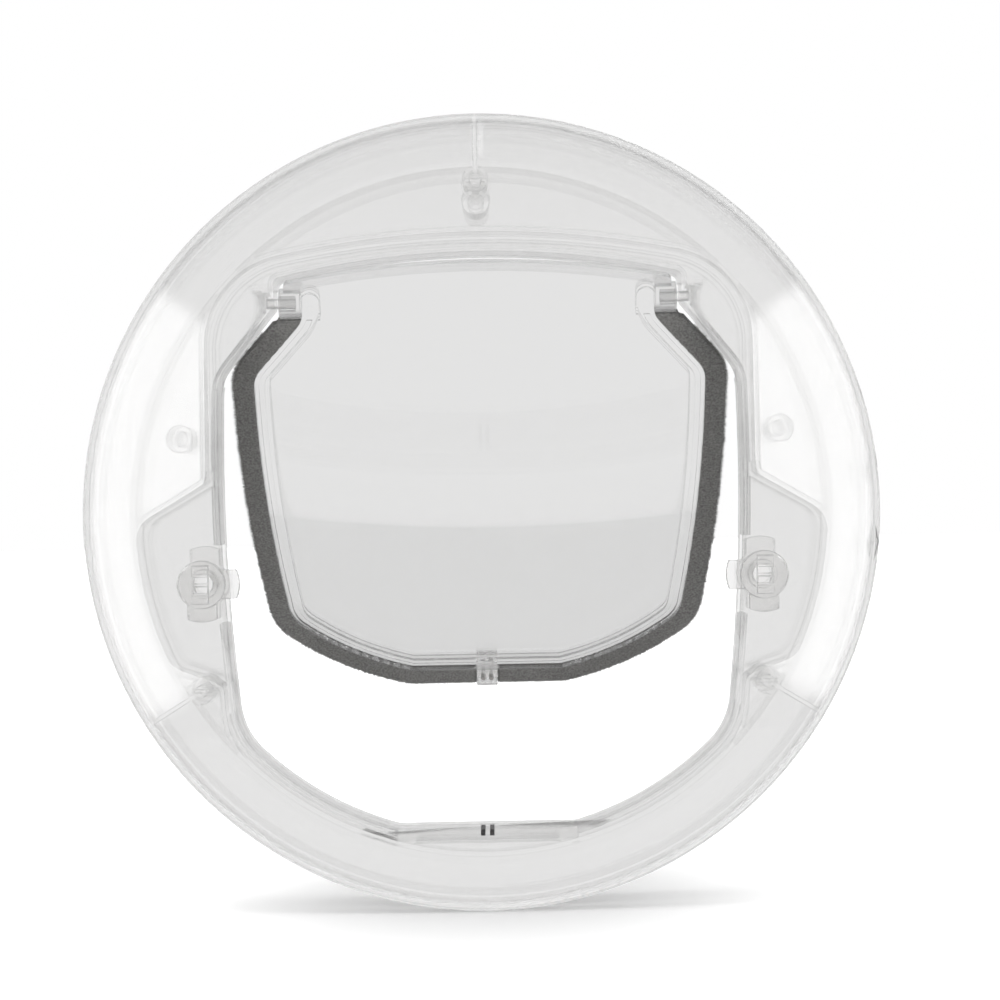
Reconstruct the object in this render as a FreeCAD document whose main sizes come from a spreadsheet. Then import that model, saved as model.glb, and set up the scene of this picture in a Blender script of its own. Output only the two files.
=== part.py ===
import FreeCAD, Part
import math
import os
import re

import Sketcher

# A round, clear cat flap for a hole cut in glass.
# The origin is the centre of the ring, halfway through the glass.
# +X is right and +Z up as seen from the front, and +Y points to the back, where the flap swings to.

# Driving dimensions, millimetres and degrees
SIZES = {
    # glass and the two flanges that clamp it
    "glass_thickness": 6.0,
    "ring_radius": 136.0,
    "rim_height": 6.7,
    "rim_rounding": 4.0,
    "dome_radius": 650.0,
    "skin": 2.4,
    "glass_overlap": 17.0,
    "collar_radius": "=ring_radius - glass_overlap",
    "collar_wall": 2.0,
    "collar_overlap": 2.6,
    "frame_gap": 0.3,
    # outline of the cat's way through
    "lintel_gap": 0.8,
    "hinge_wall_x": 69.5,
    "hinge_wall_foot": 71.4,
    "shoulder_x": 89.35,
    "shoulder_z": 46.9,
    "side_bow_x": 90.7,
    "side_bow_z": -12.0,
    "side_foot_x": 84.9,
    "side_foot_z": -70.0,
    "side_bow_radius": 690.0,
    "lower_corner_radius": 25.0,
    "sill_arc_radius": 112.5,
    "sill_height": -108.2,
    "sill_half_width": 31.0,
    "jamb_radius": 2.0,
    "shoulder_radius": 16.0,
    "sill_end_radius": 6.0,
    "tunnel_wall": 2.0,
    "tunnel_front": -7.5,
    "tunnel_split": 6.0,
    "tunnel_back": 11.5,
    "sill_wall": 4.5,
    # outline of the recess sunk into each flange round the way through
    "recess_top_height": 94.4,
    "recess_top_radius": 345.0,
    "recess_side_x": 92.4,
    "recess_corner_radius": 30.0,
    "pocket_top_z": 11.5,
    "pocket_radius": 117.0,
    "pocket_shoulder_x": 115.5,
    "pocket_shoulder_z": -1.8,
    "pocket_foot_x": 104.0,
    "pocket_foot_z": -51.0,
    "pocket_heel_x": 88.0,
    "pocket_heel_z": -56.6,
    "recess_low_x": 86.8,
    "recess_low_z": -72.0,
    "recess_low_radius": 115.5,
    "pocket_inner_radius": 4.0,
    "pocket_shoulder_radius": 9.0,
    "pocket_foot_radius": 9.0,
    "recess_wall": 2.0,
    "floor_thickness": 2.2,
    "front_floor": -3.0,
    "rear_floor": 8.8,
    "pocket_drop": 1.0,
    # clamp screws and locating pegs
    "boss_inset": 23.2,
    "boss_circle": "=ring_radius - boss_inset",
    "boss_angle": 31.6,
    "boss_radius": 4.25,
    "rear_boss_radius": 4.9,
    "screw_radius": 2.0,
    "screw_head_radius": 3.5,
    "screw_head_height": 2.4,
    "screw_clearance": 0.15,
    "boss_step": 1.5,
    "screw_seat": 9.0,
    "screw_tip": -7.0,
    "screw_hole_end": -8.5,
    "slot_width": 1.2,
    "slot_depth": 1.2,
    "rib_thickness": 1.3,
    "rib_clearance": 0.8,
    "peg_inset": 31.0,
    "peg_circle": "=ring_radius - peg_inset",
    "peg_angle": 14.7,
    "peg_radius": 2.6,
    "peg_socket_radius": 4.6,
    "peg_tip": -5.0,
    "socket_end": -6.0,
    # flap
    "hinge_height": 72.9,
    "rest_angle": 38.5,
    "flap_shoulder_radius": 22.0,
    "flap_neck_radius": 6.0,
    "strip_gap": 2.3,
    "strip_width": 7.4,
    "strip_neck_drop": 7.0,
    "strip_neck_play": 0.3,
    "strip_front": -2.5,
    "flange_front": 0.9,
    "flange_back": 2.3,
    "flange_inset": 1.5,
    "rail_width": 5.3,
    "groove_inset": 1.6,
    "rail_groove_width": 2.0,
    "rail_groove_depth": 1.0,
    "panel_thickness": 2.6,
    "flap_top_rise": 15.2,
    "flap_top_end_rise": 7.8,
    "flap_top_gap": 3.0,
    "flap_top_half_width": "=hinge_wall_x - flap_top_gap",
    # hinge
    "pin_radius": 1.7,
    "pin_clearance": 0.05,
    "pin_length": 10.0,
    "pin_hold": 3.1,
    "pin_end_x": "=hinge_wall_x + pin_hold",
    "pin_start_x": "=pin_end_x - pin_length",
    "knuckle_radius": 5.3,
    "strip_top_gap": 0.15,
    "strip_top_drop": "=knuckle_radius + strip_top_gap",
    "knuckle_gap": 1.3,
    "knuckle_outer_x": "=hinge_wall_x - knuckle_gap",
    "knuckle_length": 7.2,
    "knuckle_inner_x": "=knuckle_outer_x - knuckle_length",
    "hinge_boss_radius": 4.0,
    "hinge_boss_length": 2.2,
    "rail_end_inner_x": "=hinge_wall_x - strip_gap - strip_width - rail_width",
    # hollow in the rear flange that lets the flap's shoulders swing
    "relief_reach": 30.0,
    "relief_drop": 6.0,
    "relief_shift": 2.6,
    # rotary locks
    "lock_x": 96.1,
    "lock_z": -23.0,
    "lock_disc_radius": 8.2,
    "lock_reach": 12.9,
    "tongue_width": 10.0,
    "tongue_thickness": 3.0,
    "lock_play": 0.3,
    "lock_shaft_radius": 3.5,
    "knob_height": 5.0,
    "grip_width": 5.6,
    "grip_length": 13.0,
    "grip_height": 3.0,
    "cam_hub_radius": 5.0,
    "groove_width": 0.9,
    "groove_depth": 0.7,
    "groove_pitch": 3.2,
    "window_half_height": 13.4,
    "rear_tongue_start": 2.5,
    # magnetic catch
    "clip_width": 8.2,
    "clip_height": 13.0,
    "clip_wall": 1.4,
    "clip_play": 0.1,
    "slug_radius": 0.9,
    "slug_length": 4.0,
    "catch_pitch": 3.1,
    "magnet_width": 1.5,
    "magnet_height": 1.8,
    "magnet_cover": 0.4,
    "magnet_front": -6.5,
    "magnet_back": 5.0,
}

doc = FreeCAD.newDocument("CatFlap")
sheet = doc.addObject("Spreadsheet::Sheet", "Sizes")
for row, (alias, number) in enumerate(SIZES.items(), start=1):
    sheet.set(f"A{row}", alias)
    sheet.set(f"B{row}", str(number))
    sheet.setAlias(f"B{row}", alias)
doc.recompute()

V = FreeCAD.Vector
UP_FROM_XZ = FreeCAD.Rotation(V(1, 0, 0), 90)


def cell(text):
    """Turns the names of sizes in an expression into references to the sheet."""
    return re.sub(r"[a-z_]+", lambda word: f"Sizes.{word[0]}" if word[0] in SIZES else word[0], text)


def value(text):
    """The number that an expression of sizes comes to."""
    return float(sheet.evalExpression(cell(str(text))))


def bind(thing, **expressions):
    """Binds properties to expressions of the sheet's sizes; a double underscore stands for a dot."""
    for name, text in expressions.items():
        thing.setExpression(name.replace("__", "."), cell(str(text)))
    return thing


def make(kind, name, **expressions):
    return bind(doc.addObject(kind, name), **expressions)


# Places worked out from the sizes, with y measured from the middle of the glass
GLASS_FACE = "( glass_thickness / 2 )"
DOME_CENTRE = "( sqrt(dome_radius ^ 2 - ring_radius ^ 2) - glass_thickness / 2 - rim_height )"
SKIN_INSIDE = "( glass_thickness / 2 + rim_height + skin )"
FLOOR_BACK = "( front_floor + floor_thickness )"
LIMIT = "( ring_radius / 6 )"
FRONT_LIMIT = "-( ring_radius / 6 )"
MAGNET_FOOT = "sill_height - magnet_cover - magnet_height"
FLAP_RISE = "( flap_top_rise - flap_top_end_rise )"
FLAP_TOP_RADIUS = f"( ( flap_top_half_width ^ 2 + {FLAP_RISE} ^ 2 ) / ( 2 * {FLAP_RISE} ) )"
FLAP_TOP_CENTRE = f"( hinge_height + flap_top_rise - {FLAP_TOP_RADIUS} )"


# Outlines: a closed chain of straight edges and arcs with rounded corners between them

def line(x1, z1, x2, z2):
    """A straight edge that runs through two points."""
    return {"points": ((x1, z1), (x2, z2))}


def arc(radius, centre_z="0", clockwise=True):
    """An edge on a circle whose centre lies on the vertical centre line."""
    return {"radius": radius, "centre_z": centre_z, "clockwise": clockwise}


def mirrored(edges):
    """The same edges on the left side, in the order that continues the chain."""
    result = []
    for edge in reversed(edges):
        if "points" in edge:
            (x1, z1), (x2, z2) = edge["points"]
            result.append(line(f"-( {x2} )", z2, f"-( {x1} )", z1))
        else:
            result.append(edge)
    return result


class Curve:
    """The endless line or circle that an edge lies on, with the way it is followed."""

    def __init__(self, edge, shift=0.0):
        self.straight = "points" in edge
        if self.straight:
            ends = [V(value(x), value(z), 0) for x, z in edge["points"]]
            self.way = (ends[1] - ends[0]).normalize()
            self.start = ends[0] + V(-self.way.y, self.way.x, 0) * shift
            self.hints = ends
        else:
            self.turn = -1 if edge["clockwise"] else 1
            self.centre = V(0, value(edge["centre_z"]), 0)
            self.radius = value(edge["radius"]) - self.turn * shift
            self.hints = []

    def foot(self, point):
        """The nearest point of the curve."""
        if self.straight:
            return self.start + self.way * (point - self.start).dot(self.way)
        return self.centre + (point - self.centre).normalize() * self.radius

    def direction(self, point):
        """The way the curve runs at a point."""
        if self.straight:
            return self.way
        out = (point - self.centre).normalize()
        return V(-out.y, out.x, 0) * self.turn


def crossing(one, two, near):
    """Where two curves cross, at the crossing nearest to a point."""
    if not one.straight:
        one, two = two, one
    if two.straight:
        normal = V(-two.way.y, two.way.x, 0)
        return one.start + one.way * ((two.start - one.start).dot(normal) / one.way.dot(normal))
    middle = one.foot(two.centre)
    reach = math.sqrt(two.radius ** 2 - (middle - two.centre).Length ** 2)
    ends = [middle + one.way * reach, middle - one.way * reach]
    return min(ends, key=lambda end: (end - near).Length)


def outline(name, edges, corners, sketch=None):
    """A sketch of a closed chain of edges, in the XZ plane; corners[i] rounds the end of edges[i]."""
    if sketch is None:
        sketch = doc.addObject("Sketcher::SketchObject", name)
        sketch.Placement = FreeCAD.Placement(V(0, 0, 0), UP_FROM_XZ)
    count = len(edges)
    curves = [Curve(edge) for edge in edges]
    joints = []
    for i in range(count):
        here, after = curves[i], curves[(i + 1) % count]
        near = here.hints[1] if here.hints else after.hints[0]
        sharp = crossing(here, after, near)
        radius = value(corners[i]) if corners[i] else 0
        if radius == 0:
            joints.append((sharp, sharp, None))
            continue
        side = 1 if here.direction(sharp).cross(after.direction(sharp)).z > 0 else -1
        centre = crossing(Curve(edges[i], side * radius), Curve(edges[(i + 1) % count], side * radius), sharp)
        joints.append((here.foot(centre), after.foot(centre), (centre, radius, side)))

    ends = []
    for i, edge in enumerate(edges):
        start, end = joints[i - 1][1], joints[i][0]
        if curves[i].straight:
            index = sketch.addGeometry(Part.LineSegment(start, end), False)
            ends.append((index, 1, 2))
        else:
            ends.append(add_arc(sketch, curves[i].centre, curves[i].radius, start, end, curves[i].turn))
            centre_at(sketch, ends[-1][0], edge["centre_z"])
            named(sketch, ["Radius", ends[-1][0]], edge["radius"])
    for i, (start, end, corner) in enumerate(joints):
        here, after = ends[i], ends[(i + 1) % count]
        if corner is None:
            sketch.addConstraint(Sketcher.Constraint("Coincident", here[0], here[2], after[0], after[1]))
            continue
        centre, radius, side = corner
        index, first, last = add_arc(sketch, centre, radius, start, end, side)
        sketch.addConstraint(Sketcher.Constraint("Tangent", here[0], here[2], index, first))
        sketch.addConstraint(Sketcher.Constraint("Tangent", index, last, after[0], after[1]))
        named(sketch, ["Radius", index], corners[i])
    for i, edge in enumerate(edges):
        for x, z in edge.get("points", ()):
            guide = sketch.addGeometry(Part.Point(V(value(x), value(z), 0)), True)
            named(sketch, ["DistanceX", -1, 1, guide, 1], x)
            named(sketch, ["DistanceY", -1, 1, guide, 1], z)
            sketch.addConstraint(Sketcher.Constraint("PointOnObject", guide, 1, ends[i][0]))
    return sketch


def add_arc(sketch, centre, radius, start, end, turn):
    """Adds an arc followed from start to end; gives its index and its end numbers in that order."""
    angles = [math.atan2(point.y - centre.y, point.x - centre.x) for point in (start, end)]
    if turn < 0:
        angles.reverse()
    if angles[1] < angles[0]:
        angles[1] += 2 * math.pi
    circle = Part.Circle(centre, V(0, 0, 1), radius)
    index = sketch.addGeometry(Part.ArcOfCircle(circle, *angles), False)
    return (index, 1, 2) if turn > 0 else (index, 2, 1)


def centre_at(sketch, index, centre_z):
    """Holds an arc's centre on the vertical centre line at a height."""
    if value(centre_z) == 0:
        sketch.addConstraint(Sketcher.Constraint("Coincident", index, 3, -1, 1))
        return
    sketch.addConstraint(Sketcher.Constraint("PointOnObject", index, 3, -2))
    named(sketch, ["DistanceY", -1, 1, index, 3], centre_z)


def named(sketch, parts, text):
    """Adds a dimension to a sketch and binds it to an expression of sizes."""
    index = sketch.addConstraint(Sketcher.Constraint(*parts, value(text)))
    name = f"size{index}"
    sketch.renameConstraint(index, name)
    sketch.setExpression(f"Constraints.{name}", cell(str(text)))


def prism(name, base, low, high):
    """Extrudes an outline along Y from low to high."""
    solid = doc.addObject("Part::Extrusion", name)
    solid.Base = base
    solid.DirMode = "Custom"
    solid.Dir = V(0, 1, 0)
    solid.Solid = True
    return bind(solid, LengthFwd=f"( {high} ) - ( {low} )", Placement__Base__y=low)


def grown(name, base, by):
    """An outline moved outwards by a distance, or inwards where it is negative."""
    offset = doc.addObject("Part::Offset2D", name)
    offset.Source = base
    return bind(offset, Value=by)


def fuse(name, *shapes):
    union = doc.addObject("Part::MultiFuse", name)
    union.Shapes = list(shapes)
    union.Refine = True
    return union


def cut(name, base, *tools):
    """The base without the tools."""
    result = doc.addObject("Part::Cut", name)
    result.Base = base
    result.Tool = tools[0] if len(tools) == 1 else fuse(f"{name}_tools", *tools)
    result.Refine = True
    return result


def common(name, *shapes):
    result = doc.addObject("Part::MultiCommon", name)
    result.Shapes = list(shapes)
    result.Refine = True
    return result


def rod(name, radius, low, high, x="0", z="0"):
    """A cylinder along Y from low to high."""
    solid = make("Part::Cylinder", name, Radius=radius, Height=f"( {high} ) - ( {low} )",
                 Placement__Base__x=x, Placement__Base__y=low, Placement__Base__z=z)
    solid.Placement.Rotation = FreeCAD.Rotation(V(1, 0, 0), -90)
    return solid


def cross_rod(name, radius, left, right, y="0", z="0"):
    """A cylinder along X from left to right."""
    solid = make("Part::Cylinder", name, Radius=radius, Height=f"( {right} ) - ( {left} )",
                 Placement__Base__x=left, Placement__Base__y=y, Placement__Base__z=z)
    solid.Placement.Rotation = FreeCAD.Rotation(V(0, 1, 0), 90)
    return solid


def block(name, left, right, front, back, low, high):
    return make("Part::Box", name,
                Length=f"( {right} ) - ( {left} )", Placement__Base__x=left,
                Width=f"( {back} ) - ( {front} )", Placement__Base__y=front,
                Height=f"( {high} ) - ( {low} )", Placement__Base__z=low)


def mirror(name, source, normal=V(1, 0, 0)):
    """The mirror image of a solid, by default on the other side of the middle."""
    image = doc.addObject("Part::Mirroring", name)
    image.Source = source
    image.Normal = normal
    return image


def polar(circle, angle):
    """The place of a feature on a circle about the ring's centre, as expressions for x and z."""
    return f"( {circle} ) * cos( ( {angle} ) * 1 deg )", f"( {circle} ) * sin( ( {angle} ) * 1 deg )"


def revolved(name, profile):
    """Turns a profile in the XY plane about the Y axis."""
    solid = doc.addObject("Part::Revolution", name)
    solid.Source = profile
    solid.Axis = V(0, 1, 0)
    solid.Angle = 360
    solid.Solid = True
    return solid


def flat_sketch(name):
    """An empty sketch in the XY plane, for a profile turned about the Y axis."""
    return doc.addObject("Sketcher::SketchObject", name)


def body_sketch(body, name, level="0", plane_role="XZ_Plane"):
    """An empty sketch in one of a body's planes; in the XZ plane it is moved to a level along Y."""
    plane = [item for item in body.Origin.OriginFeatures if item.Role == plane_role][0]
    sketch = body.newObject("Sketcher::SketchObject", name)
    sketch.AttachmentSupport = (plane, [""])
    sketch.MapMode = "FlatFace"
    return bind(sketch, AttachmentOffset__Base__z=f"-( {level} )")


def pad(body, name, sketch, length):
    """Pads a sketch towards the back."""
    feature = body.newObject("PartDesign::Pad", name)
    feature.Profile = sketch
    feature.Reversed = True
    return bind(feature, Length=length)


def pocket(body, name, sketch, length, from_back=False):
    """Pockets a sketch towards the back, or towards the front where it starts at the back."""
    feature = body.newObject("PartDesign::Pocket", name)
    feature.Profile = sketch
    feature.Reversed = from_back
    return bind(feature, Length=length)


def circle(sketch, radius, x="0", z="0"):
    """Adds a circle to a sketch."""
    centre = V(value(x), value(z), 0)
    index = sketch.addGeometry(Part.Circle(centre, V(0, 0, 1), value(radius)), False)
    if value(x) == 0 and value(z) == 0:
        sketch.addConstraint(Sketcher.Constraint("Coincident", index, 3, -1, 1))
    else:
        named(sketch, ["DistanceX", -1, 1, index, 3], x)
        named(sketch, ["DistanceY", -1, 1, index, 3], z)
    named(sketch, ["Radius", index], radius)
    return sketch


def polygon(sketch, *points):
    """Fills a sketch with a closed chain of straight edges."""
    chain = [line(*points[i], *points[(i + 1) % len(points)]) for i in range(len(points))]
    return outline(sketch.Name, chain, [None] * len(points), sketch)


def rectangle(sketch, width, height, z="0"):
    """Fills a sketch with a rectangle centred on the vertical centre line."""
    right, top, foot = f"( {width} ) / 2", f"( {z} ) + ( {height} ) / 2", f"( {z} ) - ( {height} ) / 2"
    left = f"-( {right} )"
    return polygon(sketch, (left, foot), (left, top), (right, top), (right, foot))


def finish(thing, label):
    """Gives a finished sub-part the label that names its file."""
    thing.Label = label
    nodes.append(thing)
    return thing


def pair(thing, label):
    """Finishes the sub-part on the right and its mirror image on the left."""
    finish(thing, f"{label}_right")
    return finish(mirror(f"{label}_mirror", thing), f"{label}_left")


nodes = []
SIDES = (("left", -1), ("right", 1))

# The outline of the way through, clockwise from the lintel as seen from the front
LINTEL = arc(f"( {FLAP_TOP_RADIUS} + lintel_gap )", FLAP_TOP_CENTRE)
RECESS_TOP = arc("recess_top_radius", "recess_top_height - recess_top_radius")
half_opening = [
    line("hinge_wall_x", "hinge_height", "hinge_wall_x", "hinge_wall_foot"),
    line("hinge_wall_x", "hinge_wall_foot", "shoulder_x", "shoulder_z"),
    line("shoulder_x", "shoulder_z", "side_bow_x", "side_bow_z"),
    line("side_bow_x", "side_bow_z", "side_foot_x", "side_foot_z"),
    arc("sill_arc_radius"),
]
half_corners = ["jamb_radius", "jamb_radius", "shoulder_radius", "side_bow_radius", "lower_corner_radius",
                "sill_end_radius"]
SILL = line("sill_half_width", "sill_height", "-sill_half_width", "sill_height")
opening = outline("opening", [LINTEL, *half_opening, SILL, *mirrored(half_opening)],
                  [*half_corners, *reversed(half_corners)])

# The flap follows the same lines with rounder shoulders
half_flap_corners = ["jamb_radius", "flap_neck_radius", "flap_shoulder_radius", *half_corners[3:]]
flap_outline = outline("flap_outline", [RECESS_TOP, *half_opening, SILL, *mirrored(half_opening)],
                       [*half_flap_corners, *reversed(half_flap_corners)])

# The outline of the recess, which widens into a pocket for each lock
half_recess = [
    line("recess_side_x", "shoulder_z", "recess_side_x", "pocket_top_z"),
    line("recess_side_x", "pocket_top_z", "pocket_shoulder_x", "pocket_shoulder_z"),
    arc("pocket_radius"),
    line("pocket_foot_x", "pocket_foot_z", "pocket_heel_x", "pocket_heel_z"),
    line("pocket_heel_x", "pocket_heel_z", "recess_low_x", "recess_low_z"),
]
recess_corners = ["recess_corner_radius", "pocket_inner_radius", "pocket_shoulder_radius",
                  "pocket_foot_radius", "pocket_inner_radius", "lower_corner_radius"]
recess = outline(
    "recess",
    [RECESS_TOP, *half_recess, arc("recess_low_radius"), *mirrored(half_recess)],
    [*recess_corners, *reversed(recess_corners)],
)


def dome_profile(name, inset, back):
    """Half the section of a flange: flat at the glass, upright at the rim and domed to the front."""
    side = f"ring_radius - {inset}"
    return outline(
        name,
        [line("0", back, side, back),
         line(side, back, side, f"-( {GLASS_FACE} + rim_height )"),
         arc(f"dome_radius - {inset}", DOME_CENTRE),
         line("0", f"-( {SKIN_INSIDE} )", "0", back)],
        [None, f"rim_rounding - {inset}", None, None],
        flat_sketch(name),
    )


dome = revolved("dome", dome_profile("dome_section", "0", f"-( {GLASS_FACE} )"))
hollow = revolved("hollow", dome_profile("hollow_section", "skin", "0"))
recess_rim = grown("recess_rim", recess, "recess_wall")
tunnel_rim = grown("tunnel_rim", opening, "tunnel_wall")
SCREW_PLACES = [
    ("top", polar("boss_circle", "90")),
    ("left", polar("boss_circle", "180 + boss_angle")),
    ("right", polar("boss_circle", "-boss_angle")),
]
PEG_PLACES = [polar("peg_circle", angle) for angle in ("90", "peg_angle", "180 - peg_angle")]
RIB_TURNS = ("-90", "180 - boss_angle", "boss_angle")


def swept(name, play):
    """The space round the hinge that the flap's shoulders sweep, with some play at the sides."""
    outer, neck = f"shoulder_x + {play}", f"hinge_wall_x + {play}"
    foot, shoulder = "hinge_wall_foot - hinge_height", "shoulder_z - hinge_height"
    half = [(neck, "0"), (neck, foot), (outer, shoulder), (outer, "-relief_reach")]
    profile = polygon(flat_sketch(f"{name}_profile"), *half,
                      *[(f"-( {x} )", z) for x, z in reversed(half)])
    solid = doc.addObject("Part::Revolution", name)
    solid.Source = profile
    solid.Axis = V(1, 0, 0)
    solid.Angle = 360
    solid.Solid = True
    return bind(solid, Placement__Base__z="hinge_height")


def below(name, front, back, top):
    """A block across the whole flange below a height."""
    return block(name, "-ring_radius", "ring_radius", front, back, "-ring_radius", top)


def rods(name, radius, low, high, places):
    return [rod(f"{name}_{i}", radius, low, high, *place) for i, place in enumerate(places)]


def ribs(name, back):
    """Ribs from the screw bosses out to the rim, under the dome."""
    blades = []
    for i, turn in enumerate(RIB_TURNS):
        angle = f"-( {turn} )"
        x = f"{polar('boss_circle', angle)[0]} - rib_thickness / 2 * sin( ( {turn} ) * 1 deg )"
        z = f"{polar('boss_circle', angle)[1]} - rib_thickness / 2 * cos( ( {turn} ) * 1 deg )"
        blade = make("Part::Box", f"{name}_{i}", Length="ring_radius - boss_circle - skin / 2",
                     Width=f"( {back} ) - ( {FRONT_LIMIT} )", Height="rib_thickness",
                     Placement__Base__x=x, Placement__Base__y=FRONT_LIMIT, Placement__Base__z=z)
        blade.Placement.Rotation = FreeCAD.Rotation(V(0, 1, 0), 1)
        blades.append(bind(blade, Placement__Rotation__Angle=turn))
    return blades


def flange(name, mouth, tunnel_end, floor, fittings, late_extras, voids):
    """One half of the frame, facing the front; mouth, tunnel end and floor are levels along Y."""
    pocket_top = "pocket_top_z - pocket_drop"
    inner = fuse(
        f"{name}_inner",
        prism(f"{name}_ledge", recess_rim, FRONT_LIMIT, f"{mouth} + floor_thickness"),
        common(f"{name}_pockets", prism(f"{name}_floor", recess_rim, FRONT_LIMIT, f"{floor} + floor_thickness"),
               below(f"{name}_wall_zone", f"2 * {FRONT_LIMIT}", LIMIT, "pocket_top_z + 2 * recess_wall")),
        *fittings,
    )
    cover = cut(f"{name}_cover", dome, cut(f"{name}_cavity", hollow, inner))
    tail = common(f"{name}_tail", inner, below(f"{name}_tail_zone", f"-( {GLASS_FACE} ) - floor_thickness",
                                               LIMIT, "ring_radius"))
    deep = common(f"{name}_deep", prism(f"{name}_pocket", recess, f"2 * {FRONT_LIMIT}", floor),
                  below(f"{name}_deep_zone", f"3 * {FRONT_LIMIT}", LIMIT, pocket_top))
    sunk = cut(f"{name}_sunk", cut(f"{name}_pocketed", fuse(f"{name}_lined", cover, tail), deep),
               prism(f"{name}_recess", recess, f"2 * {FRONT_LIMIT}", mouth))
    whole = fuse(f"{name}_whole", sunk, prism(f"{name}_tunnel", tunnel_rim, mouth, tunnel_end), *late_extras)
    return cut(name, whole, prism(f"{name}_way", opening, f"3 * {FRONT_LIMIT}", LIMIT), *voids)


def sill(name, mouth, tunnel_end):
    """The solid step under the flat part of the sill."""
    return block(name, "-( sill_half_width )", "sill_half_width", mouth, tunnel_end,
                 "sill_height - sill_wall", "sill_height")


front_fittings = [
    cut("collar", rod("collar_outside", "collar_radius", FRONT_LIMIT, "collar_overlap"),
        rod("collar_inside", "collar_radius - collar_wall", f"2 * {FRONT_LIMIT}", LIMIT)),
    *rods("boss", "boss_radius", FRONT_LIMIT, "boss_step", [place for _, place in SCREW_PLACES]),
    *rods("socket", "peg_socket_radius", FRONT_LIMIT, FLOOR_BACK, PEG_PLACES),
    *ribs("front_rib", f"-( {GLASS_FACE} ) - rib_clearance"),
]
hinge_bosses = [
    cross_rod("hinge_boss_right", "hinge_boss_radius", "hinge_wall_x",
              "hinge_wall_x + tunnel_wall + hinge_boss_length", "0", "hinge_height"),
    cross_rod("hinge_boss_left", "hinge_boss_radius",
              "-( hinge_wall_x + tunnel_wall + hinge_boss_length )", "-( hinge_wall_x )", "0", "hinge_height"),
]
pin_reach = "( pin_end_x + pin_clearance )"
front_voids = [
    *rods("screw_hole", "screw_radius + screw_clearance", "screw_hole_end", LIMIT,
          [place for _, place in SCREW_PLACES]),
    *rods("peg_hole", "peg_radius + screw_clearance", "socket_end", LIMIT, PEG_PLACES),
    cross_rod("pin_hole", "pin_radius + pin_clearance", f"-{pin_reach}", pin_reach, "0", "hinge_height"),
]
for side, sign in SIDES:
    lock_x = f"{sign} * lock_x"
    window = ["lock_z - window_half_height", "lock_z + window_half_height"]
    inner, outer = sorted([f"{sign} * ( side_foot_x )", f"{sign} * lock_x"], key=value)
    front_voids += [
        rod(f"lock_bore_{side}", "lock_shaft_radius + 2 * pin_clearance", FRONT_LIMIT, LIMIT, lock_x, "lock_z"),
        block(f"front_window_{side}", inner, outer, "2 * tunnel_front", "front_floor", *window),
        block(f"rear_window_{side}", inner, outer, FLOOR_BACK, LIMIT, *window),
        block(f"magnet_hole_{side}", f"{sign} * catch_pitch / 2 - magnet_width / 2",
              f"{sign} * catch_pitch / 2 + magnet_width / 2", "magnet_front", LIMIT,
              MAGNET_FOOT, "sill_height - magnet_cover"),
    ]
front_frame = finish(
    flange("front", "tunnel_front", "tunnel_split", "front_floor", front_fittings,
           [sill("front_sill", "tunnel_front", "tunnel_split"), *hinge_bosses], front_voids),
    "front_frame",
)

# The rear half is built facing the front as well and then turned over
REAR_SPLIT = "-( tunnel_split + frame_gap )"
rear_fittings = [
    *rods("peg", "peg_radius", FRONT_LIMIT, "-peg_tip", PEG_PLACES),
    common(
        "rear_bosses",
        fuse("rear_boss_rods", *rods("rear_boss", "rear_boss_radius", FRONT_LIMIT, "-( boss_step + frame_gap )",
                                     [place for _, place in SCREW_PLACES])),
        fuse("rear_boss_zone", rod("rear_boss_core", "collar_radius - collar_wall - frame_gap",
                                   f"2 * {FRONT_LIMIT}", LIMIT),
             rod("rear_boss_dome", "ring_radius", f"2 * {FRONT_LIMIT}", f"-( {GLASS_FACE} )")),
    ),
    *ribs("rear_rib", f"-( {GLASS_FACE} ) - rib_clearance"),
]
rear_voids = [
    *rods("screw_way", "screw_radius + screw_clearance", FRONT_LIMIT, LIMIT,
          [place for _, place in SCREW_PLACES]),
    *rods("head_way", "screw_head_radius + 2 * screw_clearance", f"2 * {FRONT_LIMIT}", "-screw_seat",
          [place for _, place in SCREW_PLACES]),
]
relief_foot = "shoulder_z - relief_drop"
relief_shell = common("relief_shell", swept("relief_outside", "relief_shift"),
                      block("shell_zone", "-ring_radius", "ring_radius", "-tunnel_back", REAR_SPLIT,
                            relief_foot, "hinge_height + knuckle_radius + tunnel_wall"))
rear_voids.append(common("relief", swept("relief_inside", "0"),
                         block("relief_zone", "-ring_radius", "ring_radius", f"2 * {FRONT_LIMIT}", LIMIT,
                               relief_foot, "hinge_height + knuckle_radius")))
rear_half = flange("rear", "-tunnel_back", REAR_SPLIT, "-rear_floor", rear_fittings,
                   [sill("rear_sill", "-tunnel_back", REAR_SPLIT), relief_shell], rear_voids)
rear_frame = finish(mirror("rear_mirror", rear_half, V(0, 1, 0)), "rear_frame")

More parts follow.
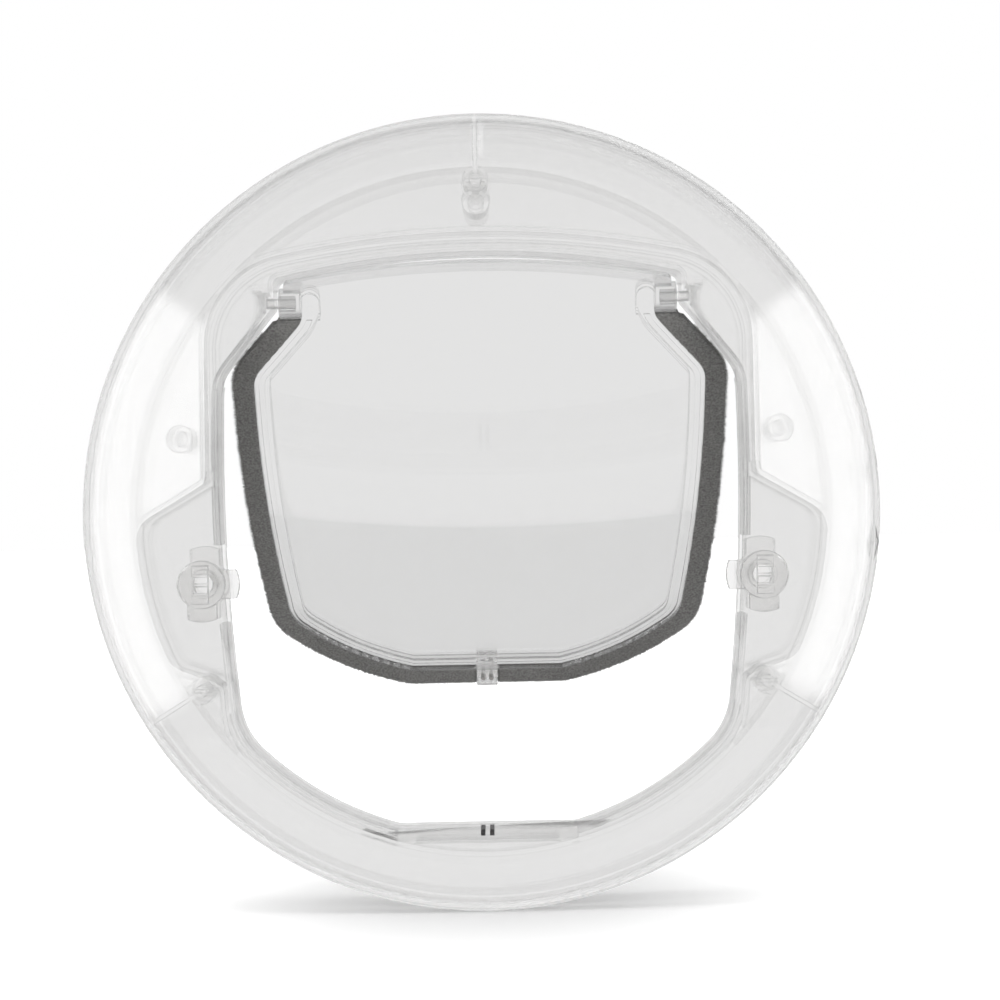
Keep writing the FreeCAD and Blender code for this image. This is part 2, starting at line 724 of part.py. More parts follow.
# Fixings: screws from the back, hinge pins and the magnets of the catch
for place_name, (x, z) in SCREW_PLACES:
    screw = doc.addObject("PartDesign::Body", f"screw_{place_name}")
    head_top = "screw_seat + screw_head_height"
    section = body_sketch(screw, f"screw_section_{place_name}", "0", "XY_Plane")
    polygon(section, ("0", "screw_tip"), ("0", head_top), ("screw_head_radius", head_top),
            ("screw_head_radius", "screw_seat"), ("screw_radius", "screw_seat"), ("screw_radius", "screw_tip"))
    turned_screw = screw.newObject("PartDesign::Revolution", f"turned_screw_{place_name}")
    turned_screw.Profile = section
    turned_screw.ReferenceAxis = (section, ["V_Axis"])
    turned_screw.Angle = 360
    slot = rectangle(body_sketch(screw, f"slot_{place_name}", head_top), "3 * screw_head_radius", "slot_width")
    pocket(screw, f"cut_slot_{place_name}", slot, "slot_depth", True)
    bind(screw, Placement__Base__x=x, Placement__Base__z=z)
    finish(screw, f"clamp_screw_{place_name}")
pair(cross_rod("pin", "pin_radius", "pin_start_x", "pin_end_x", "0", "hinge_height"), "hinge_pin")
pair(block("magnet", "( catch_pitch - magnet_width ) / 2", "( catch_pitch + magnet_width ) / 2",
           "magnet_front", "magnet_back", MAGNET_FOOT, "sill_height - magnet_cover"), "sill_magnet")

# The flap, drawn closed and then hung open at its rest angle
STRIP_TOP = "( hinge_height - strip_top_drop )"
FLAP_FOOT = "( sill_height + strip_gap )"


def hang(thing):
    """Turns a part of the flap about the hinge axis to the rest angle."""
    bind(thing, Placement__Base__y="hinge_height * sin( rest_angle * 1 deg )",
         Placement__Base__z="hinge_height * ( 1 - cos( rest_angle * 1 deg ) )")
    thing.Placement.Rotation = FreeCAD.Rotation(V(1, 0, 0), 1)
    return bind(thing, Placement__Rotation__Angle="rest_angle")


RAIL_START = "strip_gap + strip_width"
strip_rim = grown("strip_rim", flap_outline, "-strip_gap")
flange_rim = grown("flange_rim", flap_outline, "-( strip_gap + flange_inset )")
rail_rim = grown("rail_rim", flap_outline, f"-( {RAIL_START} )")
groove_rim = grown("groove_rim", flap_outline, f"-( {RAIL_START} + groove_inset )")
groove_edge = grown("groove_edge", flap_outline, f"-( {RAIL_START} + groove_inset + rail_groove_width )")
panel_rim = grown("panel_rim", flap_outline, f"-( {RAIL_START} + rail_width )")
rail_groove = cut("rail_groove", prism("groove_outside", groove_rim, FRONT_LIMIT, "strip_front + rail_groove_depth"),
                  prism("groove_inside", groove_edge, f"2 * {FRONT_LIMIT}", LIMIT))
rail_ring = cut(
    "rail_ring",
    fuse("rail_and_flange",
         common("rail_low", prism("rail", rail_rim, "strip_front", "flange_back"),
                below("rail_zone", FRONT_LIMIT, LIMIT, "hinge_height")),
         common("flange_low", prism("strip_flange", flange_rim, "flange_front", "flange_back"),
                below("flange_zone", FRONT_LIMIT, LIMIT, STRIP_TOP))),
    prism("rail_inside", panel_rim, FRONT_LIMIT, LIMIT), rail_groove,
)
half_visor = [
    line("flap_top_half_width", "hinge_height + flap_top_end_rise", "flap_top_half_width", "hinge_height"),
    line("flap_top_half_width", "hinge_height", "knuckle_inner_x", "hinge_height"),
    line("knuckle_inner_x", "hinge_height", "knuckle_inner_x", "hinge_height - strip_top_drop - rail_width"),
]
visor = outline(
    "visor",
    [arc(FLAP_TOP_RADIUS, FLAP_TOP_CENTRE), *half_visor,
     line("knuckle_inner_x", "hinge_height - strip_top_drop - rail_width",
          "-knuckle_inner_x", "hinge_height - strip_top_drop - rail_width"), *mirrored(half_visor)],
    ["jamb_radius", None, None, None, None, None, None, "jamb_radius"],
)
PANEL_LEVELS = ("-panel_thickness / 2", "panel_thickness / 2")
flap_parts = [
    rail_ring,
    common("panel_low", prism("panel", rail_rim, *PANEL_LEVELS),
           below("panel_zone", FRONT_LIMIT, LIMIT, STRIP_TOP)),
    prism("visor_plate", visor, *PANEL_LEVELS),
]
RAIL_END = "( ( knuckle_inner_x - rail_end_inner_x ) / 2 )"
RAIL_END_Z = f"hinge_height + knuckle_radius - {RAIL_END}"
for side, sign in SIDES:
    ends = sorted([f"{sign} * knuckle_inner_x", f"{sign} * rail_end_inner_x"], key=value)
    knuckle_ends = sorted([f"{sign} * knuckle_inner_x", f"{sign} * knuckle_outer_x"], key=value)
    flap_parts += [
        block(f"rail_end_{side}", *ends, "strip_front", "flange_back", STRIP_TOP, RAIL_END_Z),
        rod(f"rail_round_{side}", RAIL_END, "strip_front", "flange_back",
            f"{sign} * ( knuckle_inner_x - {RAIL_END} )", RAIL_END_Z),
        cross_rod(f"knuckle_{side}", "knuckle_radius", *knuckle_ends, "0", "hinge_height"),
    ]
pin_bores = []
for side, sign in SIDES:
    bore_ends = sorted([f"{sign} * ( pin_start_x - pin_clearance )", f"{sign} * ring_radius"], key=value)
    pin_bores.append(cross_rod(f"pin_bore_{side}", "pin_radius + pin_clearance", *bore_ends,
                               "0", "hinge_height"))
flap_panel = finish(hang(cut("flap", fuse("flap_whole", *flap_parts), *pin_bores)), "flap_panel")

CLIP_SIDE = "( clip_width / 2 + clip_play )"
pile = common(
    "pile",
    cut("pile_ring", prism("pile_outside", strip_rim, "strip_front", "flange_front"),
        prism("pile_inside", rail_rim, FRONT_LIMIT, LIMIT),
        block("pile_neck", "hinge_wall_x - strip_neck_play", "ring_radius", FRONT_LIMIT, LIMIT,
              "hinge_height - strip_neck_drop", "ring_radius")),
    block("pile_zone", CLIP_SIDE, "ring_radius", FRONT_LIMIT, LIMIT, "-ring_radius", STRIP_TOP),
)
pair(hang(pile), "pile_strip")

CLIP_FRONT = "( strip_front - clip_play - clip_wall )"
SLUG_Z = f"{FLAP_FOOT} + strip_width / 2"
clip_sides = ("-clip_width / 2", "clip_width / 2")
clip_top = f"{FLAP_FOOT} + clip_height"
slugs = {side: (f"{sign} * catch_pitch / 2", SLUG_Z) for side, sign in SIDES}
clip = cut(
    "clip",
    block("clip_block", *clip_sides, CLIP_FRONT, "flange_back + clip_play + clip_wall", FLAP_FOOT, clip_top),
    block("clip_rail_slot", "-clip_width", "clip_width", "strip_front - clip_play", "flange_back + clip_play",
          f"{FLAP_FOOT} + strip_width - clip_play", "0"),
    block("clip_flange_slot", "-clip_width", "clip_width", "flange_front - clip_play",
          "flange_back + clip_play", f"{FLAP_FOOT} + flange_inset - clip_play", "0"),
    *[rod(f"slug_hole_{side}", "slug_radius", FRONT_LIMIT, f"{CLIP_FRONT} + slug_length", *place)
      for side, place in slugs.items()],
)
finish(hang(clip), "catch_clip")
slug_rod = rod("slug_rod", "slug_radius", FRONT_LIMIT, f"{CLIP_FRONT} + slug_length", *slugs["right"])
slug_zone = block("slug_zone", *clip_sides, CLIP_FRONT, "0", FLAP_FOOT, clip_top)
pair(hang(common("slug", slug_rod, slug_zone)), "catch_slug")


# Locks: a knob in front of the pocket floor and a cam behind it on the same spindle
def lock_body(name):
    body = doc.addObject("PartDesign::Body", name)
    return bind(body, Placement__Base__x="lock_x", Placement__Base__z="lock_z")


def quarter_turns(x, z, turns):
    """A place in a sketch turned about its origin by quarter turns anticlockwise."""
    for _ in range(turns):
        x, z = f"-( {z} )", x
    return x, z


def tongue(body, name, turns, level):
    """A tongue of the lock that points up, turned anticlockwise by quarter turns."""
    side = "tongue_width / 2"
    corners = [("-" + side, "0"), ("-" + side, "lock_reach"), (side, "lock_reach"), (side, "0")]
    left_foot, left_tip, right_tip, right_foot = [quarter_turns(x, z, turns) for x, z in corners]
    edges = [line(*left_foot, *left_tip), arc("lock_reach"), line(*right_tip, *right_foot),
             line(*right_foot, *left_foot)]
    sketch = outline(f"{name}_outline", edges, [None] * 4, body_sketch(body, f"{name}_outline", level))
    return pad(body, name, sketch, "tongue_thickness")


UP, INWARD, DOWN = 0, 1, 2
knob_back = "( front_floor - lock_play )"
knob_front = f"( {knob_back} - knob_height )"
grip_front = f"( {knob_front} - grip_height )"
knob = lock_body("knob")
pad(knob, "knob_disc", circle(body_sketch(knob, "knob_circle", knob_front), "lock_disc_radius"), "knob_height")
pad(knob, "knob_grip", rectangle(body_sketch(knob, "grip_outline", grip_front), "grip_width", "grip_length"),
    "grip_height")
for i in (-1, 0, 1):
    groove = rectangle(body_sketch(knob, f"groove_outline_{i + 1}", grip_front), "2 * grip_width",
                       "groove_width", f"{i} * groove_pitch")
    pocket(knob, f"groove_{i + 1}", groove, "groove_depth")
for i, turns in enumerate((INWARD, DOWN)):
    tongue(knob, f"front_tongue_{i}", turns, f"{knob_back} - tongue_thickness")
pad(knob, "spindle", circle(body_sketch(knob, "spindle_circle", knob_back), "lock_shaft_radius"),
    f"rear_tongue_start + tongue_thickness - {knob_back}")

hub_front = f"( {FLOOR_BACK} + lock_play )"
cam = lock_body("cam")
pad(cam, "cam_disc", circle(body_sketch(cam, "cam_circle", "rear_tongue_start"), "lock_disc_radius"),
    "tongue_thickness")
pad(cam, "cam_hub", circle(body_sketch(cam, "hub_circle", hub_front), "cam_hub_radius"),
    f"rear_tongue_start - {hub_front}")
for i, turns in enumerate((UP, DOWN)):
    tongue(cam, f"rear_tongue_{i}", turns, "rear_tongue_start")
pocket(cam, "spindle_bore", circle(body_sketch(cam, "bore_circle", hub_front), "lock_shaft_radius"),
       "2 * lock_reach")
pair(knob, "lock_knob")
pair(cam, "lock_cam")

doc.recompute()
faults = [f"{item.Label}: {item.State}" for item in doc.Objects if {"Invalid", "Error"} & set(item.State)]
faults += [node.Label for node in nodes if node.Shape.isNull() or not node.Shape.isValid()]
faults += [f"{node.Label} has {len(node.Shape.Solids)} solids" for node in nodes if len(node.Shape.Solids) != 1]
if faults:
    raise RuntimeError("; ".join(faults))
os.makedirs("parts", exist_ok=True)
for node in nodes:
    node.Shape.exportStep(f"parts/{node.Label}.step")
    box = node.Shape.BoundBox
    print(f"{node.Label}: {node.Shape.Volume / 1000:.2f} cm3, y {box.YMin:.2f} to {box.YMax:.2f}, "
          f"z {box.ZMin:.2f} to {box.ZMax:.2f}, x {box.XMin:.2f} to {box.XMax:.2f}")
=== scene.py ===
import math
import random

import bmesh
import bpy
from mathutils import Matrix, Vector
from mathutils.kdtree import KDTree


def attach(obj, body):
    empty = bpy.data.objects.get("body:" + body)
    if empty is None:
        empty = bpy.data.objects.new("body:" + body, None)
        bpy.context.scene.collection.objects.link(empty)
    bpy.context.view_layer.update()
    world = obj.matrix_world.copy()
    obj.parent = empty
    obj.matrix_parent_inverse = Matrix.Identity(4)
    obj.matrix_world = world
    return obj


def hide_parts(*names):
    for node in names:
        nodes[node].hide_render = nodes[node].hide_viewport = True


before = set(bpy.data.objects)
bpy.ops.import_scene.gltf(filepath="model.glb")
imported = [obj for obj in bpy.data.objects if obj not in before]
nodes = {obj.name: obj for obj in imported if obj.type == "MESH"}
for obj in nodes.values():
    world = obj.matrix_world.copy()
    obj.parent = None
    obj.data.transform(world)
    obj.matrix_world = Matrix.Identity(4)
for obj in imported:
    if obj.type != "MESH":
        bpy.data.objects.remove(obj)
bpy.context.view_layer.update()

scene = bpy.context.scene
MM = 0.001

# hinge axis, opening of the flap at rest and foot of the ring
HINGE = Vector((0, 0, 72.9)) * MM
REST = math.radians(38.5)
FLOOR = -136.0 * MM
FRONT = Vector((0, -1, 0))
# from the flap as it stands at rest to the closed flap, and back
CLOSE = Matrix.Translation(HINGE) @ Matrix.Rotation(-REST, 4, "X") @ Matrix.Translation(-HINGE)
OPEN = CLOSE.inverted()

# moulded pieces: what is welded, what counts as flat and as sharp, and what stays a crease
WELD = 0.002 * MM
FLAT_ANGLE = math.radians(0.2)
SHARP_ANGLE = math.radians(35)
CREASE_ANGLE = math.radians(50)
# how far the flap's top edge is raised to the lintel, from how many millimetres above the hinge
TOP_LIFT = 0.72 * MM
LIFT_START = 5.0
LIFT_SPAN = 3.0

# pile: net, a point inside the strips' curve, and the height where the fibres end
PILE_NET = 0.6 * MM
PILE_MIDDLE = Vector((0, 0, -15)) * MM
FIBRE_TOP = 61.0 * MM
FIBRE_WIDTH = 0.06 * MM
# fibres on each face, the range of their lengths, how far they lean and stray, and how deep they root
FRONT_FIBRES = 3
SIDE_FIBRES = 2
FIBRE_LENGTH = (0.7, 1.3)
LEAN = 0.35
LEAN_OUT = 0.25
STRAY = 0.3
ROOT_DEPTH = 0.05

# clear plastic, and the share of light that goes straight through the collar's thin wall
PLASTIC_IOR = 1.58
COLLAR_STRAIGHT = 0.97

# camera: its place, its roll, and half the width that it sees at some distance
CAMERA_PLACE = Vector((6.38, -706.5, 3.98)) * MM
CAMERA_ROLL = math.radians(-1.1)
VIEW_HALF_WIDTH = 170.65
VIEW_DISTANCE = 700

IN_DEGREES = 180 / math.pi

# studio, in metres and in strengths of light
FLOOR_REACH = 6.0
FLOOR_FRONT = -0.17
AMBIENT = 0.55
BOX_LIGHT = 5.6


def material(name):
    """A new node material; gives it, its node tree and its Principled shader."""
    made = bpy.data.materials.new(name)
    made.use_nodes = True
    return made, made.node_tree, made.node_tree.nodes["Principled BSDF"]


def maths(tree, operation, *inputs):
    """A maths node; each input is a number or an output of another node. Gives its output."""
    node = tree.nodes.new("ShaderNodeMath")
    node.operation = operation
    for socket, item in zip(node.inputs, inputs):
        if isinstance(item, (int, float)):
            socket.default_value = item
        else:
            tree.links.new(item, socket)
    return node.outputs[0]


def seen_rays(tree, *kinds):
    """1 for the kinds of ray named, and 0 for the others."""
    paths = tree.nodes.new("ShaderNodeLightPath")
    result = paths.outputs[kinds[0]]
    for kind in kinds[1:]:
        result = maths(tree, "MAXIMUM", result, paths.outputs[kind])
    return result


def ramp(tree, item, low, high, to_low=0.0, to_high=1.0, smooth=True):
    """Maps an output from one range to another, held at the ends."""
    node = tree.nodes.new("ShaderNodeMapRange")
    node.interpolation_type = "SMOOTHSTEP" if smooth else "LINEAR"
    tree.links.new(item, node.inputs["Value"])
    for name, number in (("From Min", low), ("From Max", high), ("To Min", to_low), ("To Max", to_high)):
        node.inputs[name].default_value = number
    return node.outputs["Result"]


def band(tree, item, rise, fall, height=1.0):
    """Climbs from 0 to the height over one range and falls back to 0 over the other."""
    return maths(tree, "MULTIPLY", ramp(tree, item, *rise), ramp(tree, item, *fall, height, 0.0))


def vector_maths(tree, operation, *inputs):
    """A vector maths node; each input is a vector or an output of another node. Gives its output."""
    node = tree.nodes.new("ShaderNodeVectorMath")
    node.operation = operation
    for socket, item in zip(node.inputs, inputs):
        if isinstance(item, tuple):
            socket.default_value = item
        else:
            tree.links.new(item, socket)
    return node.outputs["Value" if operation in ("LENGTH", "DOT_PRODUCT") else "Vector"]


def mix(tree, share, first, second):
    """A mix of two shaders; the share of the second is a number or an output of another node."""
    node = tree.nodes.new("ShaderNodeMixShader")
    if isinstance(share, (int, float)):
        node.inputs["Fac"].default_value = share
    else:
        tree.links.new(share, node.inputs["Fac"])
    tree.links.new(first, node.inputs[1])
    tree.links.new(second, node.inputs[2])
    return node.outputs[0]


def lit(tree, kind, strength):
    """A white emission or background shader of a strength that another node gives."""
    node = tree.nodes.new(kind)
    node.inputs["Color"].default_value = (1, 1, 1, 1)
    tree.links.new(strength, node.inputs["Strength"])
    return node.outputs[0]


def noise(tree, scale, detail=2.0):
    """A noise texture in object space; gives its grey value."""
    coords = tree.nodes.new("ShaderNodeTexCoord")
    texture = tree.nodes.new("ShaderNodeTexNoise")
    texture.inputs["Scale"].default_value = scale
    texture.inputs["Detail"].default_value = detail
    tree.links.new(coords.outputs["Object"], texture.inputs["Vector"])
    return texture.outputs["Fac"]


def bump(tree, shader, height, strength, distance):
    """Gives a shader a fine relief from a grey value."""
    relief = tree.nodes.new("ShaderNodeBump")
    relief.inputs["Strength"].default_value = strength
    relief.inputs["Distance"].default_value = distance
    tree.links.new(height, relief.inputs["Height"])
    tree.links.new(relief.outputs["Normal"], shader.inputs["Normal"])


def collar_share(tree, elsewhere, inside, outside):
    """The share of light that goes straight through: nearly all of it in the thin wall of a round collar."""
    coords = tree.nodes.new("ShaderNodeTexCoord")
    flat = vector_maths(tree, "MULTIPLY", coords.outputs["Object"], (1, 0, 1))
    radius = vector_maths(tree, "LENGTH", flat)
    outward = vector_maths(tree, "NORMALIZE", flat)
    facing = vector_maths(tree, "DOT_PRODUCT", outward, coords.outputs["Normal"])
    wall = ramp(tree, maths(tree, "ABSOLUTE", facing), 0.3, 0.5)
    soft = 0.3 * MM
    ring = band(tree, radius, (inside - soft, inside), (outside, outside + soft))
    share = maths(tree, "MULTIPLY", wall, ring)
    return ramp(tree, share, 0.0, 1.0, elsewhere, COLLAR_STRAIGHT, smooth=False)


def clear_plastic(name, tint, straight, roughness, ripple, collar=None):
    """Clear moulded plastic with a faint grey tint.

    A share of the light goes straight through, so that thin walls aren't black where glass traps light.
    """
    made, tree, shader = material(name)
    shader.inputs["Base Color"].default_value = (*tint, 1)
    shader.inputs["Transmission Weight"].default_value = 1.0
    shader.inputs["IOR"].default_value = PLASTIC_IOR
    shader.inputs["Roughness"].default_value = roughness
    bump(tree, shader, noise(tree, 18.0, 1.0), ripple, 0.0006)
    through = tree.nodes.new("ShaderNodeBsdfTransparent")
    through.inputs["Color"].default_value = (*(math.sqrt(part) for part in tint), 1)
    share = straight if collar is None else collar_share(tree, straight, *collar)
    blend = mix(tree, share, shader.outputs["BSDF"], through.outputs["BSDF"])
    tree.links.new(blend, tree.nodes["Material Output"].inputs["Surface"])
    return made


def grained(name, colour, metallic, roughness, grain, strength):
    """A plain material with a fine grain."""
    made, tree, shader = material(name)
    shader.inputs["Base Color"].default_value = (*colour, 1)
    shader.inputs["Metallic"].default_value = metallic
    shader.inputs["Roughness"].default_value = roughness
    bump(tree, shader, noise(tree, grain), strength, 0.0002)
    return made


def dress(node_names, made):
    """Gives CAD nodes a material."""
    for name in node_names:
        mesh = nodes[name].data
        mesh.materials.clear()
        mesh.materials.append(made)


def modified(mesh, kind, **settings):
    """The mesh that one modifier makes of a mesh."""
    helper = bpy.data.objects.new("helper", mesh)
    scene.collection.objects.link(helper)
    modifier = helper.modifiers.new("helper", kind)
    for setting, number in settings.items():
        setattr(modifier, setting, number)
    bpy.context.view_layer.update()
    result = bpy.data.meshes.new_from_object(helper.evaluated_get(bpy.context.evaluated_depsgraph_get()))
    bpy.data.objects.remove(helper)
    return result


def moulded(name, body, made, edge_radius):
    """Stands for a node with the same shape, whose sharp edges are rounded as a mould leaves them."""
    net = bmesh.new()
    net.from_mesh(nodes[name].data)
    bmesh.ops.remove_doubles(net, verts=net.verts, dist=WELD)
    bmesh.ops.dissolve_limit(net, angle_limit=FLAT_ANGLE, verts=net.verts, edges=net.edges)
    sharp = [edge for edge in net.edges
             if len(edge.link_faces) == 2 and edge.calc_face_angle() > SHARP_ANGLE]
    bmesh.ops.bevel(net, geom=sharp, offset=edge_radius, segments=2, profile=0.5, affect="EDGES")
    if name == "flap_panel":
        for vertex in net.verts:
            closed = CLOSE @ vertex.co
            rise = (closed.z - HINGE.z) / MM
            closed.z += TOP_LIFT * min(1.0, max(0.0, (rise - LIFT_START) / LIFT_SPAN))
            vertex.co = OPEN @ closed
    bmesh.ops.triangulate(net, faces=net.faces)
    draft = bpy.data.meshes.new(f"{name}_draft")
    net.to_mesh(draft)
    net.free()
    draft.shade_smooth()
    draft.set_sharp_from_angle(angle=CREASE_ANGLE)
    # normals weighted by area keep big flat faces even beside the narrow rounded edges
    mesh = modified(draft, "WEIGHTED_NORMAL", mode="FACE_AREA", weight=100, keep_sharp=True)
    mesh.name = f"{name}_moulded"
    mesh.materials.clear()
    mesh.materials.append(made)
    piece = bpy.data.objects.new(f"{name}_moulded", mesh)
    scene.collection.objects.link(piece)
    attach(piece, body)
    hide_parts(name)


frame_plastic = clear_plastic("clear_frame", (0.885, 0.884, 0.882), 0.5, 0.0, 0.03,
                              collar=(115.5 * MM, 121.0 * MM))
flap_plastic = clear_plastic("clear_flap", (0.765, 0.764, 0.762), 0.4, 0.0, 0.02)
small_plastic = clear_plastic("clear_small", (0.92, 0.918, 0.915), 0.25, 0.02, 0.02)
# piece, body, material and radius of its edges in millimetres
MOULDED = [("front_frame", "frame", frame_plastic, 0.15), ("rear_frame", "frame", frame_plastic, 0.15),
           ("flap_panel", "flap", flap_plastic, 0.12), ("catch_clip", "flap", small_plastic, 0.2)]
MOULDED += [(f"clamp_screw_{place}", "frame", small_plastic, 0.2) for place in ("top", "left", "right")]
MOULDED += [(f"hinge_pin_{side}", "frame", small_plastic, 0.2) for side in ("left", "right")]
MOULDED += [(f"lock_{piece}_{side}", f"lock_{side}", small_plastic, 0.35)
            for piece in ("knob", "cam") for side in ("left", "right")]
for name, body, plastic, edge_radius in MOULDED:
    moulded(name, body, plastic, edge_radius * MM)

dress(["catch_slug_left", "catch_slug_right"],
      grained("steel", (0.30, 0.29, 0.28), 1.0, 0.35, 900.0, 0.15))
dress(["sill_magnet_left", "sill_magnet_right"],
      grained("magnet", (0.055, 0.05, 0.055), 0.0, 0.55, 1500.0, 0.3))

# pile strips: an even core with short fibres that lie outwards over the flap's edge
pile_material, pile_tree, pile_shader = material("pile")
pile_shader.inputs["Roughness"].default_value = 0.85
pile_shader.inputs["Sheen Weight"].default_value = 0.25
pile_shader.inputs["Sheen Roughness"].default_value = 0.5
tufts = noise(pile_tree, 1400.0, 3.0)
shade = pile_tree.nodes.new("ShaderNodeValToRGB")
shade.color_ramp.elements[0].position = 0.3
shade.color_ramp.elements[0].color = (0.085, 0.084, 0.08, 1)
shade.color_ramp.elements[1].position = 0.7
shade.color_ramp.elements[1].color = (0.21, 0.207, 0.2, 1)
pile_tree.links.new(tufts, shade.inputs["Fac"])
pile_tree.links.new(shade.outputs["Color"], pile_shader.inputs["Base Color"])
bump(pile_tree, pile_shader, tufts, 0.5, 0.0003)


def faces_out(face):
    """Whether a face of a closed pile strip is on its outer side."""
    return abs(face.normal.y) < 0.3 and face.normal.dot(face.center - PILE_MIDDLE) > 0


def fibre(root, way, length, width, points, faces):
    """Adds a flat blade that stands on a root and narrows to its tip."""
    across = way.cross(FRONT).normalized() * width
    start = len(points)
    points += [root - across, root + across, root + way * length]
    faces.append((start, start + 1, start + 2))


def pile_strip(side, sign):
    """Stands for a pile strip: its own shape as an even net, with fibres on its front and outer side."""
    core = modified(nodes[f"pile_strip_{side}"].data.copy(), "REMESH", mode="VOXEL", voxel_size=PILE_NET)
    core.transform(CLOSE)
    outer = [face for face in core.polygons if faces_out(face)]
    finder = KDTree(len(outer))
    for i, face in enumerate(outer):
        finder.insert(face.center, i)
    finder.balance()
    chance = random.Random(7 + sign)
    points = [vertex.co.copy() for vertex in core.vertices]
    faces = [tuple(face.vertices) for face in core.polygons]
    for face in core.polygons:
        on_front = face.normal.y < -0.5
        if face.center.z > FIBRE_TOP or not (on_front or faces_out(face)):
            continue
        _, nearest, _ = finder.find(face.center)
        out_way = outer[nearest].normal.copy()
        out_way.y = 0
        along = out_way.cross(FRONT)
        for _ in range(FRONT_FIBRES if on_front else SIDE_FIBRES):
            way = out_way + along * chance.uniform(-LEAN, LEAN) + FRONT * chance.uniform(0.0, LEAN_OUT)
            root = (face.center + along * chance.uniform(-STRAY, STRAY) * MM
                    + out_way * chance.uniform(-STRAY, STRAY) * MM - FRONT * ROOT_DEPTH * MM)
            fibre(root, way.normalized(), chance.uniform(*FIBRE_LENGTH) * MM, FIBRE_WIDTH, points, faces)
    mesh = bpy.data.meshes.new(f"pile_{side}")
    mesh.from_pydata(points, [], faces)
    mesh.transform(OPEN)
    mesh.materials.append(pile_material)
    strip = bpy.data.objects.new(f"pile_{side}", mesh)
    scene.collection.objects.link(strip)
    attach(strip, "flap")
    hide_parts(f"pile_strip_{side}")


pile_strip("left", -1)
pile_strip("right", 1)

# floor: lit by the lamps near the ring, and white for the camera farther off
floor_mesh = bpy.data.meshes.new("floor")
floor_mesh.from_pydata([(-FLOOR_REACH, FLOOR_FRONT, FLOOR), (FLOOR_REACH, FLOOR_FRONT, FLOOR),
                        (FLOOR_REACH, FLOOR_REACH, FLOOR), (-FLOOR_REACH, FLOOR_REACH, FLOOR)],
                       [], [(0, 1, 2, 3)])
floor = bpy.data.objects.new("floor", floor_mesh)
scene.collection.objects.link(floor)
floor_material, floor_tree, floor_shader = material("floor")
floor_shader.inputs["Base Color"].default_value = (0.9, 0.9, 0.9, 1)
floor_shader.inputs["Roughness"].default_value = 0.9
floor_shader.inputs["Specular IOR Level"].default_value = 0.0
floor_coords = floor_tree.nodes.new("ShaderNodeTexCoord")
span = vector_maths(floor_tree, "LENGTH", floor_coords.outputs["Object"])
glow = maths(floor_tree, "MULTIPLY", seen_rays(floor_tree, "Is Camera Ray"),
             ramp(floor_tree, span, 0.115, 0.22, 0.06, 1.0))
floor_shader.inputs["Emission Color"].default_value = (1, 1, 1, 1)
floor_tree.links.new(glow, floor_shader.inputs["Emission Strength"])
# seen through the clear plastic, bent or straight, it is white, with a painted shadow that makes it a little
# darker under the ring
behind_with_painted_shadow = lit(floor_tree, "ShaderNodeEmission", ramp(floor_tree, span, 0.0, 0.2, 0.9, 1.0))
straight_on = maths(floor_tree, "MULTIPLY", seen_rays(floor_tree, "Is Camera Ray"),
                    maths(floor_tree, "GREATER_THAN", seen_rays(floor_tree, "Transparent Depth"), 0.5))
through = maths(floor_tree, "MAXIMUM", seen_rays(floor_tree, "Is Transmission Ray"), straight_on)
floor_seen = mix(floor_tree, through, floor_shader.outputs["BSDF"], behind_with_painted_shadow)
# mirrored in the plastic, it is darker the farther off; a sharp bent ray counts as glossy too
mirrored = lit(floor_tree, "ShaderNodeEmission", ramp(floor_tree, span, 0.3, 1.0, 0.95, 0.45))
only_mirrored = maths(floor_tree, "GREATER_THAN",
                      maths(floor_tree, "SUBTRACT", seen_rays(floor_tree, "Is Glossy Ray"),
                            seen_rays(floor_tree, "Is Transmission Ray")), 0.5)
floor_tree.links.new(mix(floor_tree, only_mirrored, floor_seen, mirrored),
                     floor_tree.nodes["Material Output"].inputs["Surface"])
floor_mesh.materials.append(floor_material)

# world: an even light with painted panels, whose turn is the angle round the camera's line of sight and
# whose tilt is the angle away from it
world = bpy.data.worlds.new("studio")
scene.world = world
world.use_nodes = True
world_tree = world.node_tree
world_tree.nodes.clear()
direction = world_tree.nodes.new("ShaderNodeTexCoord")
split = world_tree.nodes.new("ShaderNodeSeparateXYZ")
world_tree.links.new(direction.outputs["Generated"], split.inputs[0])
side = maths(world_tree, "ABSOLUTE", split.outputs["X"])
turn = maths(world_tree, "MULTIPLY", maths(world_tree, "ARCTAN2", split.outputs["Z"], side), IN_DEGREES)
to_front = maths(world_tree, "MULTIPLY", split.outputs["Y"], -1.0)
tilt = maths(world_tree, "MULTIPLY", maths(world_tree, "ARCCOSINE", to_front), IN_DEGREES)
# two soft panels left and right of the camera, each a sector that fans out from its line of sight
sectors = maths(world_tree, "MULTIPLY", band(world_tree, turn, (-33.0, -29.0), (33.0, 36.0)),
                band(world_tree, tilt, (15.0, 24.0), (35.5, 38.5)))
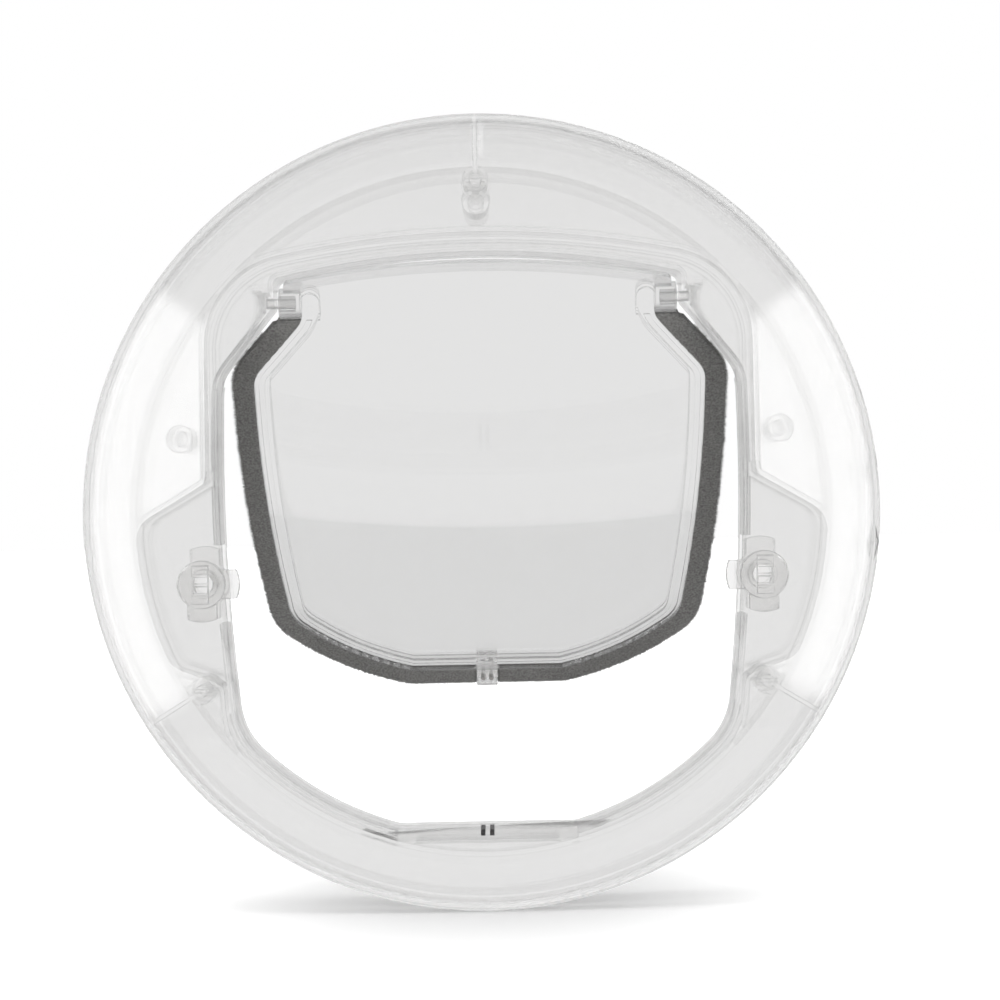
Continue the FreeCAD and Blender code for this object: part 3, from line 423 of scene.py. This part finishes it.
# a narrow strip of light through a gap right above the camera
gap = maths(world_tree, "MULTIPLY", ramp(world_tree, turn, 89.5, 89.8),
            band(world_tree, tilt, (30.5, 31.5), (35.0, 36.0), 0.6))
panels = maths(world_tree, "ADD", sectors, gap)
studio = lit(world_tree, "ShaderNodeBackground",
             maths(world_tree, "MULTIPLY_ADD", panels, BOX_LIGHT, AMBIENT))
# the camera sees white all round; what the plastic bends up to the ceiling finds less light there
overhead = ramp(world_tree, split.outputs["Z"], 0.3, 0.6, 1.0, 0.45)
backdrop = lit(world_tree, "ShaderNodeBackground",
               maths(world_tree, "MAXIMUM", overhead, seen_rays(world_tree, "Is Camera Ray")))
seen = seen_rays(world_tree, "Is Camera Ray", "Is Transmission Ray")
output = world_tree.nodes.new("ShaderNodeOutputWorld")
world_tree.links.new(mix(world_tree, seen, studio, backdrop), output.inputs["Surface"])


def softbox(name, place, aim, width, height, power):
    """A soft rectangular lamp that lights the scene and isn't mirrored in the plastic or seen through it."""
    lamp = bpy.data.lights.new(name, "AREA")
    lamp.shape = "RECTANGLE"
    lamp.size = width
    lamp.size_y = height
    lamp.energy = power
    stand = bpy.data.objects.new(name, lamp)
    scene.collection.objects.link(stand)
    stand.visible_glossy = False
    stand.visible_transmission = False
    stand.location = place
    stand.rotation_euler = (Vector(aim) - Vector(place)).to_track_quat("-Z", "Y").to_euler()


softbox("box_top", (-0.3, -0.25, 1.5), (0, 0, 0), 0.8, 0.8, 9)

# the photo's camera, as fitted to the ring and to the open flap
camera_data = bpy.data.cameras.new("camera")
camera_data.sensor_width = 36.0
camera_data.sensor_fit = "HORIZONTAL"
camera_data.angle = 2 * math.atan(VIEW_HALF_WIDTH / VIEW_DISTANCE)
camera_data.clip_end = 20.0
camera = bpy.data.objects.new("camera", camera_data)
scene.collection.objects.link(camera)
camera.matrix_world = (Matrix.Translation(CAMERA_PLACE)
                       @ Matrix.Rotation(math.radians(90), 4, "X")
                       @ Matrix.Rotation(CAMERA_ROLL, 4, "Z"))
scene.camera = camera
scene.view_settings.view_transform = "Standard"

bpy.context.view_layer.update()
